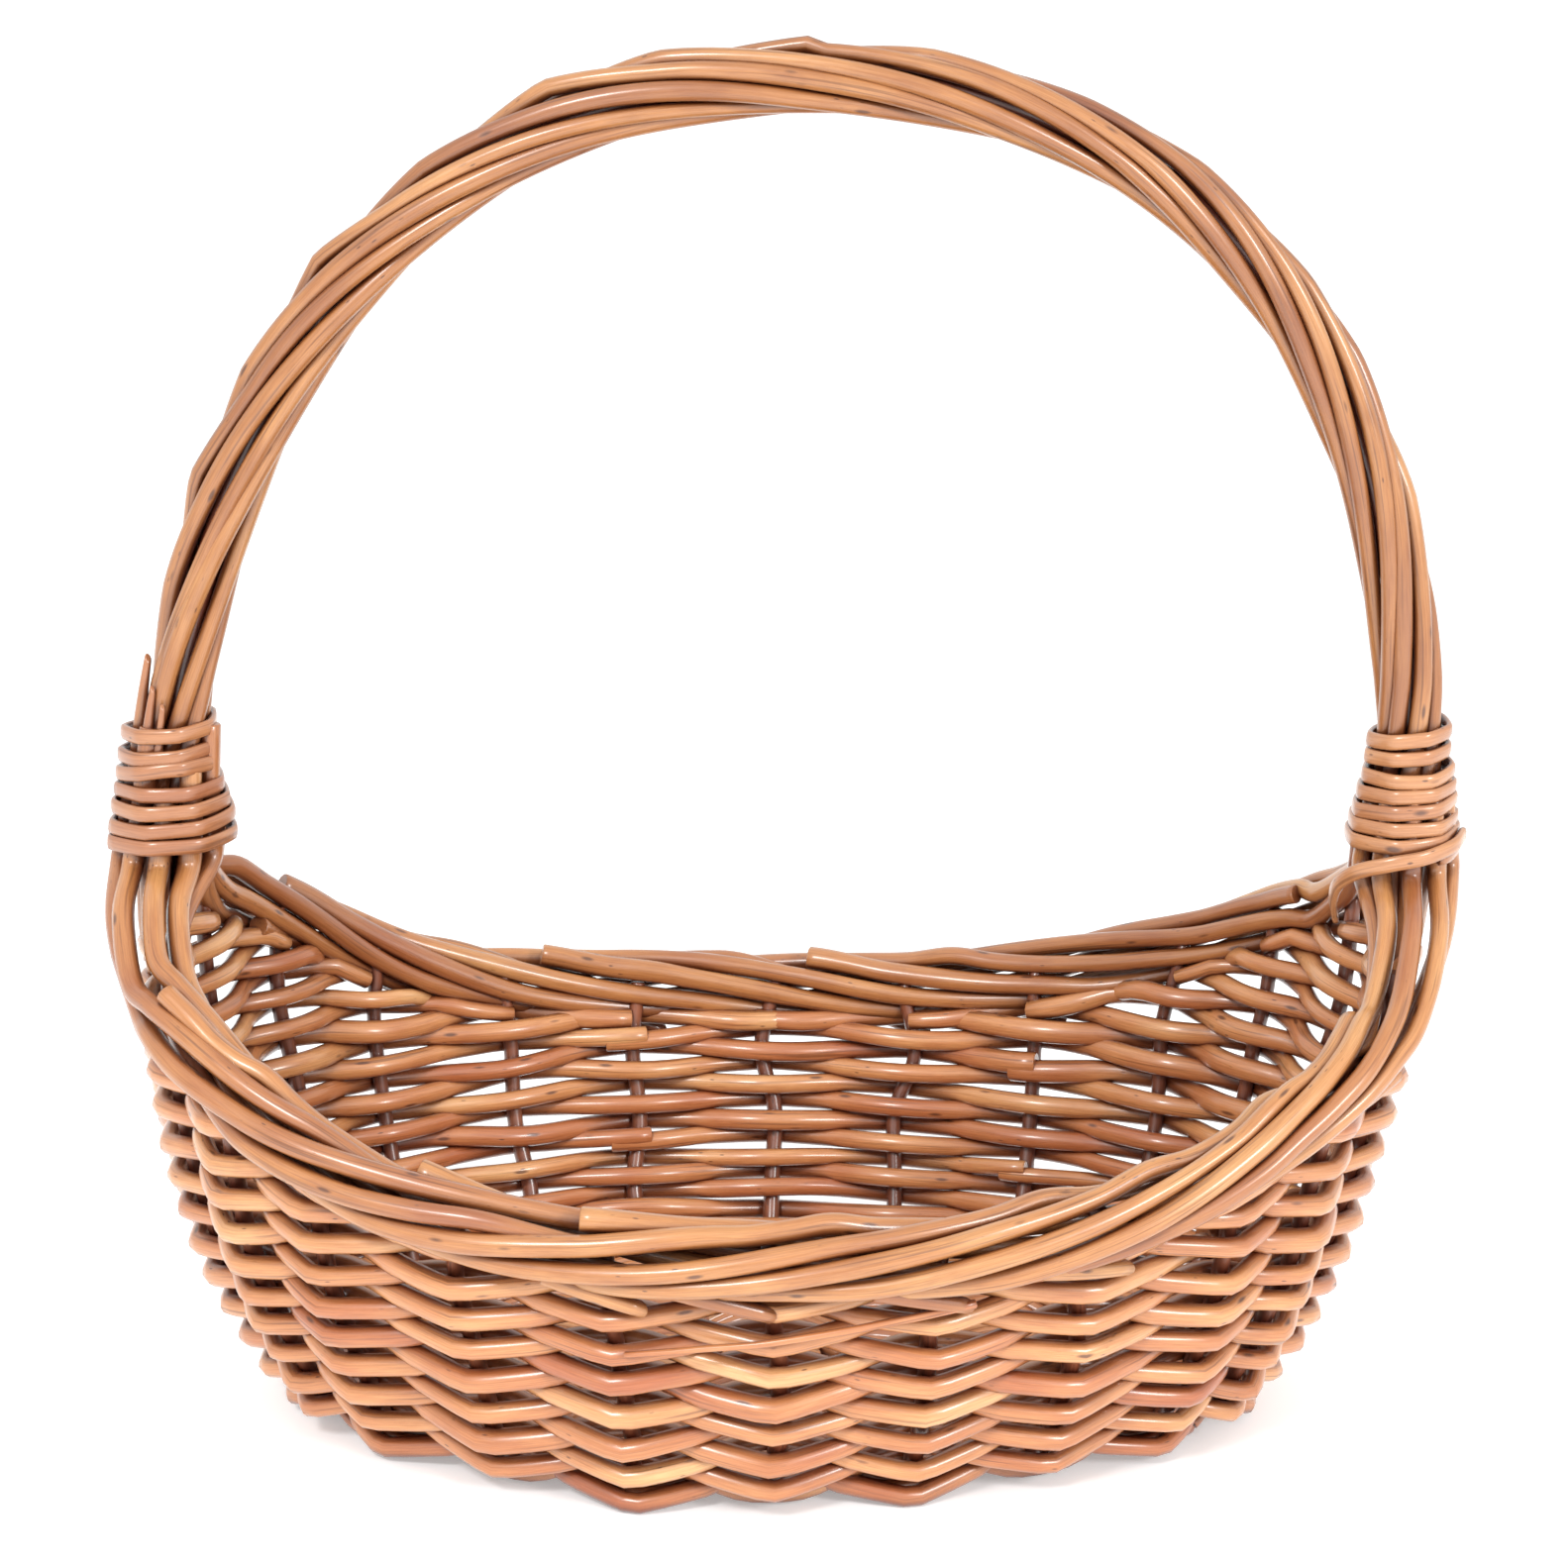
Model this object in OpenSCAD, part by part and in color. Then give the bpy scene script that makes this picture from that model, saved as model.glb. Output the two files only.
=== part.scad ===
// A willow market basket. Upright stakes rise from a woven oval base, rods are woven
// round them row by row, and a roped border sweeps up at both ends to a roped arch handle.
// The origin is the middle of the underside. X runs along the basket, Y goes from its
// front to its back, and Z is up. All sizes are in millimetres.

/* [Body] */
// Half length of the base oval, to the wall's outer side
base_half_len = 145; // [142:1:148]
// Half width of the base oval
base_half_wid = 80; // [78:1:82]
// Radius of the base oval's round ends
base_end_r = 53; // [51:1:55]
// Lean of the wall from upright at the base, in degrees
wall_lean = 35; // [33:1:37]
// Radius of the wall's outward curve, seen from an end
wall_r = 236; // [232:2:240]

/* [Stakes] */
// Diameter of a stake
stake_d = 5.2; // [4.8:0.1:5.4]
// Distance between stakes along the front and the back
side_gap = 44.5; // [43:0.5:46]

/* [Weave] */
// Diameter of a weaving rod
weaver_d = 5.4; // [5:0.1:5.5]
// Height from one woven row to the next
row_pitch = 5.6; // [5.6:0.1:5.8]
// Number of rows that go all the way round
row_count = 13; // [11:1:13]

/* [Border] */
// Diameter of a border rod
border_rod_d = 6.6; // [6:0.1:6.8]
// Number of rods in each half of the border
border_rods = 5; // [5:1:5]
// Radius at which they lie round the border's middle
border_coil_r = 8; // [7.8:0.1:8.4]
// Height of the border's middle at the front and back
border_low = 93; // [93:1:96]
// Height of the border's middle at the ends
border_high = 155; // [150:1:158]
// How late the border sweeps up, as a power
border_sweep = 3.2; // [2.8:0.1:3.6]

/* [Handle] */
// Half span of the arch
arch_half_span = 183; // [182:0.5:185]
// Height of the arch's middle line at its top
arch_top = 402; // [380:1:410]
// Fullness of the arch, where 2 is an ellipse
arch_power = 2.27; // [2:0.01:2.5]
// Diameter of the bow inside the handle
bow_d = 9; // [8:0.5:9.2]
// Number of rods roped round the bow
strand_count = 8; // [8:1:8]
// Diameter of a roped rod
strand_d = 5; // [4.6:0.1:5.2]
// Turns that the rods make from end to end
strand_turns = 2.25; // [1:0.25:3]

/* [Binding] */
// Width of the flat skein round the handle's feet
skein_w = 4; // [3:0.5:4.5]
// Thickness of the skein
skein_t = 1.2; // [1:0.1:1.4]
// Number of turns of skein
skein_turns = 7; // [5:1:7]

/* [Base] */
// Diameter of a stick across the base
cross_stick_d = 6.4; // [6:0.1:6.6]
// Diameter of a stick along the base
long_stick_d = 4; // [3.6:0.1:4.2]
// Distance between the sticks along the base
long_stick_gap = 20; // [18:1:21]
// Diameter of a rod in the base weave
base_rod_d = 4.4; // [4:0.1:4.6]
// Number of courses in the base weave
base_courses = 7; // [5:1:7]

/* [Hidden] */
play = 0.3;
stakes_per_quarter = 6;
stake_count = 4 * stakes_per_quarter;
side_steps = 3;

// The base oval: two end arcs and two side arcs that meet smoothly.
end_x = base_half_len - base_end_r;
narrow = base_half_wid - base_end_r;
side_y = (end_x * end_x - narrow * narrow) / (2 * narrow);
side_r = base_half_wid + side_y;
end_span = atan2(side_y, end_x);

// Arc lengths for spacing the stakes, taken part way up the wall.
spacing_flare = 30;
end_arc = (base_end_r + spacing_flare) * end_span * PI / 180;
side_arc = (side_r + spacing_flare) * (90 - end_span) * PI / 180;
quarter_arc = end_arc + side_arc;
end_steps = stakes_per_quarter - side_steps;
end_gap = (quarter_arc - side_steps * side_gap) / end_steps;

// The wall's layers, counted from its outer side.
weave_amp = stake_d / 2 + weaver_d / 2 + 1.5 * play;
stake_inset = weave_amp;
stake_r = wall_r - stake_inset;
wall_top_sin = sin(wall_lean);

// The base is a flat plate of sticks at one height, woven from its edge inwards.
base_z = 8.5;
stick_hole_d = long_stick_d + 0.4;
foot_rod_r = 2.9;
foot_rod_z = 2.6;
foot_flare = 2.5;
tail_len = 14;
tail_gap = 4;
base_first_course = -9;
base_course_pitch = 6.2;
base_ring_steps = 28;
base_ring_gap = 1;
base_arc_courses = 4;
base_arc_steps = 5;

first_row_z = 10;
top_row_z = first_row_z + (row_count - 1) * row_pitch;
border_half_h = border_coil_r + border_rod_d / 2;
under_border = border_half_h + weaver_d / 2 + 2;
packing_rows = 9;
// How far past a stake a rod's end reaches, in steps between stakes.
end_reach = 0.2;
rim_half_len = base_half_len + flare(border_high);

// The handle's foot: roped rods round the bow, and border rods round them.
foot_bottom = border_high + 17;
foot_grip = foot_bottom + 10;
foot_mid = foot_bottom + 31;
foot_top = foot_bottom + 43;
strand_coil_r = bow_d / 2 + strand_d / 2 + play;
foot_coil_r = strand_coil_r + strand_d / 2 + border_rod_d / 2 + 2 * play;
foot_spread = 36;
elbow_drop = 3;
elbow_stagger = 15;
tip_stagger = 2;
bow_tip_z = 106;
bow_tip_d = 5;
bow_leg_step = 12;
bow_leg_top = border_high - 10;

// The border's rods lie evenly round its middle line and turn round it as they go along.
border_share = 360 / border_rods;
border_turn = border_share * (border_rods + 2);
border_start = 0.5;

// How finely rods are drawn.
weaver_sides = 5;
rod_sides = 6;
stake_steps = 8;
border_steps = 26;
bow_steps = 28;
strand_steps = 34;
skein_steps = 14;
round_fn = 32;
ring_fn = 96;
willow = "burlywood";
dark_willow = "peru";

ROWS = [for (i = [0 : row_count - 1]) numbered("wall_row_", i + 1)];
FRONT_BORDER = [for (i = [0 : border_rods - 1]) numbered("front_border_rod_", i + 1)];
BACK_BORDER = [for (i = [0 : border_rods - 1]) numbered("back_border_rod_", i + 1)];
STRANDS = [for (i = [0 : strand_count - 1]) numbered("handle_rod_", i + 1)];

function numbered(name, n) = str(name, n < 10 ? "0" : "", n);

// ---- The wall's surface ----

// How far the wall's outer side has flared out from the base oval at height z.
function flare(z) =
    let (s = wall_top_sin - z / wall_r)
    wall_r * (sqrt(1 - s * s) - cos(wall_lean));

// Point of the oval that lies out from the base oval, where the outward normal is at angle a.
function oval(a, out) =
    let (fold = atan2(abs(sin(a)), abs(cos(a))))
    fold <= end_span
        ? [sign(cos(a)) * end_x + (base_end_r + out) * cos(a), (base_end_r + out) * sin(a)]
        : [(side_r + out) * cos(a), (side_r + out) * sin(a) - sign(sin(a)) * side_y];

// Normal angle of stake j in the first quarter, from the right end to the back.
function quarter_angle(j) =
    let (q = j <= end_steps ? j * end_gap
                            : quarter_arc - (stakes_per_quarter - j) * side_gap)
    q <= end_arc ? q / (base_end_r + spacing_flare) * 180 / PI
                 : 90 - (quarter_arc - q) / (side_r + spacing_flare) * 180 / PI;

// Normal angle of stake k: 0 is the right end, 6 the back, 12 the left end, 18 the front.
function stake_angle(k) =
    let (n = stakes_per_quarter, quarter = floor(k / n), j = k - n * quarter)
    90 * quarter + (quarter % 2 == 0 ? quarter_angle(j) : 90 - quarter_angle(n - j));

// Point of the wall beside stake k at height z, moved out from the stakes' middle line.
function wall_point(k, z, out) =
    let (s = wall_top_sin - z / wall_r, c = sqrt(1 - s * s), r = stake_r + out)
    let (p = oval(stake_angle(k), r * c - wall_r * cos(wall_lean)))
    [p[0], p[1], wall_r * wall_top_sin - r * s];

// Height of the border's middle beside stake k.
function border_z(k, z = 120, tries = 4) =
    let (x = oval(stake_angle(k), flare(z))[0])
    let (rise = border_high - border_low)
    let (next = border_low + rise * pow(min(1, abs(x) / rim_half_len), border_sweep))
    tries == 0 ? next : border_z(k, next, tries - 1);

// ---- Sweeping a rod along points ----

function unit(v) = v / norm(v);

function along(p, i) = unit(p[min(i + 1, len(p) - 1)] - p[max(i - 1, 0)]);

// Corners of a round section of radius r at point i, square to the path.
function round_section(p, i, r, sides, up) =
    let (t = along(p, i), u = unit(cross(t, up)), v = cross(u, t))
    [for (s = [0 : sides - 1])
        p[i] + r * (cos(360 * s / sides) * u + sin(360 * s / sides) * v)];

// A closed solid through equal rings of corners.
module skin(rings) {
    n = len(rings[0]);
    last = len(rings) - 1;
    corners = [for (ring = rings) each ring];
    walls = [for (i = [0 : last - 1]) for (s = [0 : n - 1])
        let (a = i * n + s, b = i * n + (s + 1) % n)
        each [[a, b, b + n], [a, b + n, a + n]]];
    caps = [[for (s = [n - 1 : -1 : 0]) s], [for (s = [0 : n - 1]) last * n + s]];
    polyhedron(corners, concat(walls, caps), convexity = 10);
}

// A rod of diameter d along points. The up vector is never along the rod.
module rod(p, d, sides = rod_sides, up = [0, 0, 1]) {
    skin([for (i = [0 : len(p) - 1]) round_section(p, i, d / 2, sides, up)]);
}

// ---- Base ----

// Length that a stick has from the middle to the stakes' tails, along a direction.
function inner_half_wid(x) =
    let (out = -tail_len - tail_gap)
    abs(x) <= (side_r + out) * cos(end_span)
        ? sqrt(pow(side_r + out, 2) - x * x) - side_y
        : sqrt(pow(base_end_r + out, 2) - pow(abs(x) - end_x, 2));

function inner_half_len(y) =
    end_x + sqrt(pow(base_end_r - tail_len - tail_gap, 2) - y * y);

module base_cross_sticks() {
    color(dark_willow)
    for (i = [-side_steps : side_steps]) {
        x = oval(stake_angle(stakes_per_quarter - i), 0)[0];
        half = inner_half_wid(x);
        translate([x, 0, base_z])
        difference() {
            rotate([90, 0, 0])
                cylinder(h = 2 * half, d = cross_stick_d, center = true, $fn = round_fn);
            for (j = [-1 : 1])
                translate([0, j * long_stick_gap, 0]) rotate([0, 90, 0])
                cylinder(h = 2 * cross_stick_d, d = stick_hole_d, center = true, $fn = round_fn);
        }
    }
}

module base_long_sticks() {
    color(dark_willow)
    for (j = [-1 : 1])
        translate([0, j * long_stick_gap, base_z]) rotate([0, 90, 0])
        cylinder(h = 2 * inner_half_len(j * long_stick_gap), d = long_stick_d,
                 center = true, $fn = round_fn);
}

// A level rod that goes once round the base, starting where the outward normal is at angle a.
module base_ring(out, z, a) {
    round_way = [for (s = [0 : base_ring_steps - 1])
        let (p = oval(a + 360 * s / base_ring_steps, out)) [p[0], p[1], z]];
    back = unit(round_way[base_ring_steps - 1] - round_way[0]);
    rod(concat(round_way, [round_way[0] + base_ring_gap * back]), base_rod_d, weaver_sides);
}

// Two level rods along the middle of the base, which bow apart as the oval's sides do.
module base_arcs(out, z) {
    r = side_r + out;
    reach = sqrt(r * r - pow(side_y + base_rod_d / 2 + play, 2));
    for (half = [-1, 1])
        rod([for (s = [0 : base_arc_steps])
            let (x = reach * (2 * s / base_arc_steps - 1))
            [x, half * (sqrt(r * r - x * x) - side_y), z]], base_rod_d, weaver_sides);
}

module base_weave() {
    color(willow)
    for (i = [0 : base_courses + base_arc_courses - 1])
        for (side = [-1, 1]) {
            out = base_first_course - i * base_course_pitch;
            z = base_z + side * (cross_stick_d / 2 + base_rod_d / 2 + play);
            if (i < base_courses) base_ring(out, z, 90 + side * (60 + 20 * i));
            else base_arcs(out, z);
        }
}

// The lowest rod lies just outside the base oval. Its underside is pressed flat.
module foot_rod() {
    color(willow)
    for (side = [-1, 1]) {
        translate([side * end_x, 0, foot_rod_z])
            rotate([0, 0, side > 0 ? -end_span : 180 - end_span])
            foot_arc(base_end_r + foot_flare, 2 * end_span);
        translate([0, -side * side_y, foot_rod_z])
            rotate([0, 0, side > 0 ? end_span : 180 + end_span])
            foot_arc(side_r + foot_flare, 180 - 2 * end_span);
    }
}

module foot_arc(arc_r, span) {
    rotate_extrude(angle = span, $fn = ring_fn)
    translate([arc_r, 0])
    intersection() {
        circle(r = foot_rod_r, $fn = round_fn);
        translate([-foot_rod_r, -foot_rod_z]) square(2 * foot_rod_r);
    }
}

// ---- Stakes ----

// Point of stake k's middle line at exactly height z.
function stake_point(k, z) =
    let (centre_z = wall_r * wall_top_sin)
    wall_point(k, centre_z - (centre_z - z) * wall_r / stake_r, 0);

// A stake's middle line: its tail lies in the base, and then it bends up into the wall.
function stake_path(k, top_z) =
    let (a = stake_angle(k), foot = stake_point(k, base_z))
    concat(
        [foot - tail_len * [cos(a), sin(a), 0]],
        [for (s = [0 : stake_steps])
            stake_point(k, base_z + (top_z - base_z) * s / stake_steps)]
    );

// The stakes under the handle stop below the bow's cut tips.
function stake_top(k) =
    k % (2 * stakes_per_quarter) == 0 ? bow_tip_z - 1 : border_z(k) - border_half_h - 0.5;

module stakes(first, last) {
    color(dark_willow)
    for (k = [first : last])
        rod(stake_path(k, stake_top(k)), stake_d, rod_sides,
            [-sin(stake_angle(k)), cos(stake_angle(k)), 0]);
}

// ---- Weave ----

// A weaver lies outside one stake and inside the next, and row i starts on the other side.
function side_of(k, row) = (k + row) % 2 == 0 ? 1 : -1;

function weave_out(k, row) = k == floor(k) ? side_of(k, row) * weave_amp : 0;

function weave_point(k, z, row) = wall_point(k, z, weave_out(k, row));

module wall_row(i) {
    start = (5 * i + 1) % stake_count;
    z = first_row_z + i * row_pitch;
    points = concat(
        [weave_point(start, z, i)],
        [for (h = [1 : 2 * stake_count - 1]) weave_point(start + h / 2, z, i)],
        [wall_point(start - end_reach, z, -0.8 * weave_amp)]
    );
    color(willow) rod(points, weaver_d, weaver_sides);
}

// How many stakes to each side of an end a packing row at height z reaches.
function packing_reach(z) =
    max([for (n = [0 : stakes_per_quarter - 1]) if (border_z(n) - under_border > z) n]);

module packing_row(end, i) {
    z = top_row_z + (i + 1) * row_pitch;
    reach = packing_reach(z);
    row = row_count + i;
    steps = 4 * reach;
    points = concat(
        [wall_point(end - reach - end_reach, z, side_of(reach, row) * 0.9 * weave_amp)],
        [for (h = [0 : steps]) weave_point(end - reach + h / 2, z, row)],
        [wall_point(end + reach + end_reach, z, side_of(reach, row) * 0.9 * weave_amp)]
    );
    color(willow) rod(points, weaver_d, weaver_sides);
}

module packing(end) {
    for (i = [0 : packing_rows - 1]) packing_row(end, i);
}

// ---- Border ----

// Middle line of the border beside stake k, and a point that lies round it at angle b.
// Angle b is 0 below, 90 on the inner side and 180 above.
function border_point(k, b) =
    let (z = border_z(k), a = stake_angle(k), p = oval(a, flare(z)))
    let (out = -border_coil_r * sin(b))
    [p[0] + out * cos(a), p[1] + out * sin(a), z - border_coil_r * cos(b)];

// A point beside the handle's foot. Angle a is 0 towards the front.
function foot_point(side, a, z) =
    let (x = side * arch_x(z))
    [x + side * foot_coil_r * sin(a), -foot_coil_r * cos(a), z];

// The top rod of the border meets the foot's nearest side, and the lower ones its sides.
function foot_angle(b) = (b - 180) / border_share * foot_spread;

// Height at which a rod has turned up beside the foot. The outermost ones turn up lowest.
function elbow_z(a) =
    foot_bottom - elbow_drop - elbow_stagger * abs(a) / (2 * foot_spread);

// A front border rod, from the left foot along the front to the right foot.
function border_path(i) =
    let (n = stakes_per_quarter, span = 2 * n - 2 * border_start)
    let (from = border_share * (i + 0.5), to_b = (from + border_turn) % 360)
    let (tip = foot_mid - tip_stagger * (i % 3))
    let (left = foot_angle(360 - from), right = foot_angle(360 - to_b))
    concat(
        [for (z = [tip, foot_grip, elbow_z(left)]) foot_point(-1, left, z)],
        [for (s = [0 : border_steps])
            border_point(2 * n + border_start + span * s / border_steps,
                         360 - from - border_turn * s / border_steps)],
        [for (z = [elbow_z(right), foot_grip, tip]) foot_point(1, right, z)]
    );

module border_rod(i) {
    color(willow) rod(border_path(i), border_rod_d, rod_sides, [1, 0, 0.2]);
}

module front_border_rod(i) {
    border_rod(i);
}

module back_border_rod(i) {
    mirror([0, 1, 0]) border_rod(i);
}

// ---- Handle ----

// Half span of the arch's middle line at height z.
function arch_x(z) =
    let (s = max(0, (z - border_high) / (arch_top - border_high)))
    arch_half_span * pow(1 - pow(s, arch_power), 1 / arch_power);

// Middle line of the arch at angle t: 180 is the left foot, 90 the top, 0 the right foot.
function arch_point(t) =
    [sign(cos(t)) * arch_half_span * pow(abs(cos(t)), 2 / arch_power), 0,
     border_high + (arch_top - border_high) * pow(abs(sin(t)), 2 / arch_power)];

// Angle t at which the arch is at height z, on the right.
function arch_angle(z) =
    asin(pow((z - border_high) / (arch_top - border_high), arch_power / 2));

function arch_out(t) =
    let (d = arch_point(t - 0.5) - arch_point(t + 0.5)) unit([-d[2], 0, d[0]]);

// Arc length of the arch from angle a to angle t, by short chords.
function arch_len(a, t, n = 24) =
    let (p = [for (i = [0 : n]) arch_point(a + (t - a) * i / n)])
    total([for (i = [1 : n]) norm(p[i] - p[i - 1])]);

function total(v, i = 0) = i == len(v) ? 0 : v[i] + total(v, i + 1);

// The bow: a rod over the arch, whose cut tips are pushed down into the end walls.
function bow_leg(side) =
    [for (z = [bow_tip_z : bow_leg_step : bow_leg_top])
        let (p = wall_point(0, z, 0)) [side * p[0], 0, z]];

module handle_bow() {
    low = arch_angle(foot_bottom);
    left = bow_leg(-1);
    right = bow_leg(1);
    arch = [for (i = [0 : bow_steps])
        arch_point(180 - low - (180 - 2 * low) * i / bow_steps)];
    points = concat(left, arch, [for (i = [len(right) - 1 : -1 : 0]) right[i]]);
    color(dark_willow)
    skin([for (i = [0 : len(points) - 1])
        let (d = points[i][2] > foot_bottom - 1 ? bow_d : bow_tip_d)
        round_section(points, i, d / 2, rod_sides, [0, 1, 0])]);
}

module handle_rod(i) {
    low = arch_angle(foot_bottom + 1);
    whole = arch_len(180 - low, low);
    angles = [for (s = [0 : strand_steps]) 180 - low - (180 - 2 * low) * s / strand_steps];
    points = [for (t = angles)
        let (turn = 360 * strand_turns * arch_len(180 - low, t) / whole)
        let (g = turn + 360 * i / strand_count, out = arch_out(t))
        arch_point(t) + strand_coil_r * (cos(g) * out + sin(g) * [0, -1, 0])];
    color(willow) rod(points, strand_d, rod_sides, [0, 1, 0.01]);
}

// ---- Binding ----

// A flat skein wound up round the handle's foot, wide over the border rods' tips.
module binding(side) {
    steps = skein_steps * skein_turns;
    slack = 3 * play;
    wide = foot_coil_r + border_rod_d / 2 + slack;
    slim = strand_coil_r + strand_d / 2 + slack;
    z_step = (foot_top - foot_bottom - skein_w) / steps;
    ring = function (i)
        let (a = 360 * i / skein_steps, z = foot_bottom + 0.5 + z_step * i)
        let (r = z > foot_mid + 1 ? slim : wide)
        let (x = side * arch_x(z))
        [for (c = [[r, z], [r + skein_t, z], [r + skein_t, z + skein_w], [r, z + skein_w]])
            [x + c[0] * cos(a), c[0] * sin(a), c[1]]];
    color(willow) skin([for (i = [0 : steps]) ring(i)]);
}

base_cross_sticks();
base_long_sticks();
base_weave();
foot_rod();
stakes(-2, 2);  // right_stakes
stakes(3, 9);  // back_stakes
stakes(10, 14);  // left_stakes
stakes(15, 21);  // front_stakes
for (i = [0 : row_count - 1])
    wall_row(i);
packing(2 * stakes_per_quarter);  // left_packing
packing(4 * stakes_per_quarter);  // right_packing
for (i = [0 : border_rods - 1]) {
    front_border_rod(i);
    back_border_rod(i);
}
handle_bow();
for (i = [0 : strand_count - 1])
    handle_rod(i);
binding(-1);  // left_binding
binding(1);  // right_binding
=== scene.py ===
"""Looks of the willow market basket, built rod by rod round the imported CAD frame.

Blender works in metres. Sizes and places here are in millimetres, as in the CAD source,
and are scaled when a mesh is made.
"""
import math
import zlib

import bpy
import numpy as np
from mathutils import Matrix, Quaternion, Vector


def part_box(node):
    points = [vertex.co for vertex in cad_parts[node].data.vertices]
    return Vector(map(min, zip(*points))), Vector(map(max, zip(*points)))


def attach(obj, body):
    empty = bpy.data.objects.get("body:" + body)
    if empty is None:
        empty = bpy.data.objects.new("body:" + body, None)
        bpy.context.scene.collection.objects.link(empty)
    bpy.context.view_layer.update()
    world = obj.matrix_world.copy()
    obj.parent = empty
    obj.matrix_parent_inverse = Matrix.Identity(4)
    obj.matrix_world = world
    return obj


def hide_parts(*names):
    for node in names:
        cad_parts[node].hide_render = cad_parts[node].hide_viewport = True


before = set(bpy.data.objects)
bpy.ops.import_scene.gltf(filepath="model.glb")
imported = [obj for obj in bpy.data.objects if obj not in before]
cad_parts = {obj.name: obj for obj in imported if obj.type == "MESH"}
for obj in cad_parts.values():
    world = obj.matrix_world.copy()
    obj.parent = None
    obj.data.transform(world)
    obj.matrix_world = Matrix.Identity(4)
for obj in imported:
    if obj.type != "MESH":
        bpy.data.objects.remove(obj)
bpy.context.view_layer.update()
MM = 0.001

# ---- Sizes, from the frame where it holds them ----
# Radii end in _R. A coil is the distance of rods from the line that they are roped round.
# Places along the wall and the border are stations, counted in stakes as stake_angle() does.

FOOT_ROD_R = 2.9
FOOT_FLARE = 2.5
FOOT_ROD_Z = 3.9
FOOT_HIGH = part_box("foot_rod")[1] / MM
BOW_LOW, BOW_HIGH = (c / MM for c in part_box("handle_bow"))

HALF_LEN = FOOT_HIGH.x - FOOT_FLARE - FOOT_ROD_R
HALF_WID = FOOT_HIGH.y - FOOT_FLARE - FOOT_ROD_R
END_R = 53.0
WALL_LEAN = math.radians(35)
WALL_R = 236.0

STAKE_R = 2.6
SIDE_GAP = 44.5
SIDE_STEPS = 3
END_STEPS = 3
QUARTER = SIDE_STEPS + END_STEPS
STAKES = 4 * QUARTER

WEAVER_R = 3.3
WEAVE_AMP = 5.8
# How much a weaver drops or rises for each mm that it bows outwards, in front and behind.
FRONT_DROP, BACK_LIFT = 0.14, 0.17
CUT_END_OUT = 4.5
FIRST_ROW_Z = 10.0
ROW_PITCH = 5.6
ROWS = sum(name.startswith("wall_row_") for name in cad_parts)
PACKING_ROWS = 12

BORDER_R = 3.2
BORDER_COIL = 8.0
BORDER_LOW, BORDER_HIGH = 93.0, 155.0
BORDER_SWEEP = 3.2
BORDER_RODS = sum(name.startswith("front_border_rod_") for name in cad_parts)
BORDER_TURN = 2 * math.pi / BORDER_RODS * (BORDER_RODS + 2)
BORDER_LAY = 7
BORDER_START = 1.25
SHORT_START = 1.7
# Where slanted tips come out below the border, where one rod's butt covers the last one's
# tip, and where rods are kinked.
BORDER_TIPS = (17.2, 17.96, 19.14, 20.15)
BORDER_BREAKS = {"front": (15.85, 16.97), "back": (14.2, 16.4, 18.3)}
BORDER_KINKS = {"front": (13.4, 14.6, 18.26, 19.7, 20.2, 21.2),
                "back": (13.6, 17.2, 19.4, 21.0)}
# Places in the full lay of seven, for the long rod and the short rod of each piece.
LONG_RODS = (0, 1, 3, 4, 6)
SHORT_RODS = {1: 2, 3: 5}

BOW_R = 4.3
BOW_LEG_R = 2.5
ARCH_TOP = BOW_HIGH.z - 4.5
ARCH_HALF = 183.0
ARCH_POWER = 2.27
STRANDS = sum(name.startswith("handle_rod_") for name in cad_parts)
STRAND_R = 2.6
STRAND_COIL = 7.3
STRAND_TURNS = 2.25
KINK_SHARP, KINK_SOFT = 3.6, 1.6

FOOT_BOTTOM = BORDER_HIGH + 17
FOOT_MID = FOOT_BOTTOM + 31
FOOT_COIL = 13.2
FOOT_SPREAD = math.radians(36)
SKEIN_W = 4.7
SKEIN_T = 2.1
# How high above the foot's bottom the skein is after so many turns, on each side.
BINDING_TURNS = (0, 1, 2, 3, 4, 5, 6, 7.3)
LEFT_LIFTS = (3.5, 8.4, 14.1, 18.9, 24.1, 30.1, 35.1, 44.0)
RIGHT_LIFTS = (7.0, 11.6, 16.2, 20.8, 25.4, 30.2, 36.5, 44.0)

BASE_Z = 8.5
CROSS_STICK_R = 3.2
LONG_STICK_R = 2.0
LONG_STICK_GAP = 20.0
BASE_ROD_R = 2.2
BASE_LIFT = CROSS_STICK_R + BASE_ROD_R - 0.3
BASE_EDGE = 3.5
COURSE_PITCH = 4.6
RING_COURSES = 10
ARC_COURSES = 7
BASE_SIDES = 8
TAIL_LEN = 14.0
TAIL_GAP = 4.0

# The base oval: two end arcs and two side arcs that meet smoothly.
END_X = HALF_LEN - END_R
NARROW = HALF_WID - END_R
SIDE_Y = (END_X ** 2 - NARROW ** 2) / (2 * NARROW)
SIDE_R = HALF_WID + SIDE_Y
END_SPAN = math.atan2(SIDE_Y, END_X)
SPACING_FLARE = 30.0
END_ARC = (END_R + SPACING_FLARE) * END_SPAN
SIDE_ARC = (SIDE_R + SPACING_FLARE) * (math.pi / 2 - END_SPAN)
QUARTER_ARC = END_ARC + SIDE_ARC
END_GAP = (QUARTER_ARC - SIDE_STEPS * SIDE_GAP) / END_STEPS
TOP_SIN = math.sin(WALL_LEAN)
TOP_COS = math.cos(WALL_LEAN)
STAKE_LINE_R = WALL_R - WEAVE_AMP


# ---- Shape of the basket ----

def flare(z):
    """How far the wall's outer side has flared out from the base oval at height z."""
    s = TOP_SIN - z / WALL_R
    return WALL_R * (np.sqrt(1 - s * s) - TOP_COS)


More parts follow.
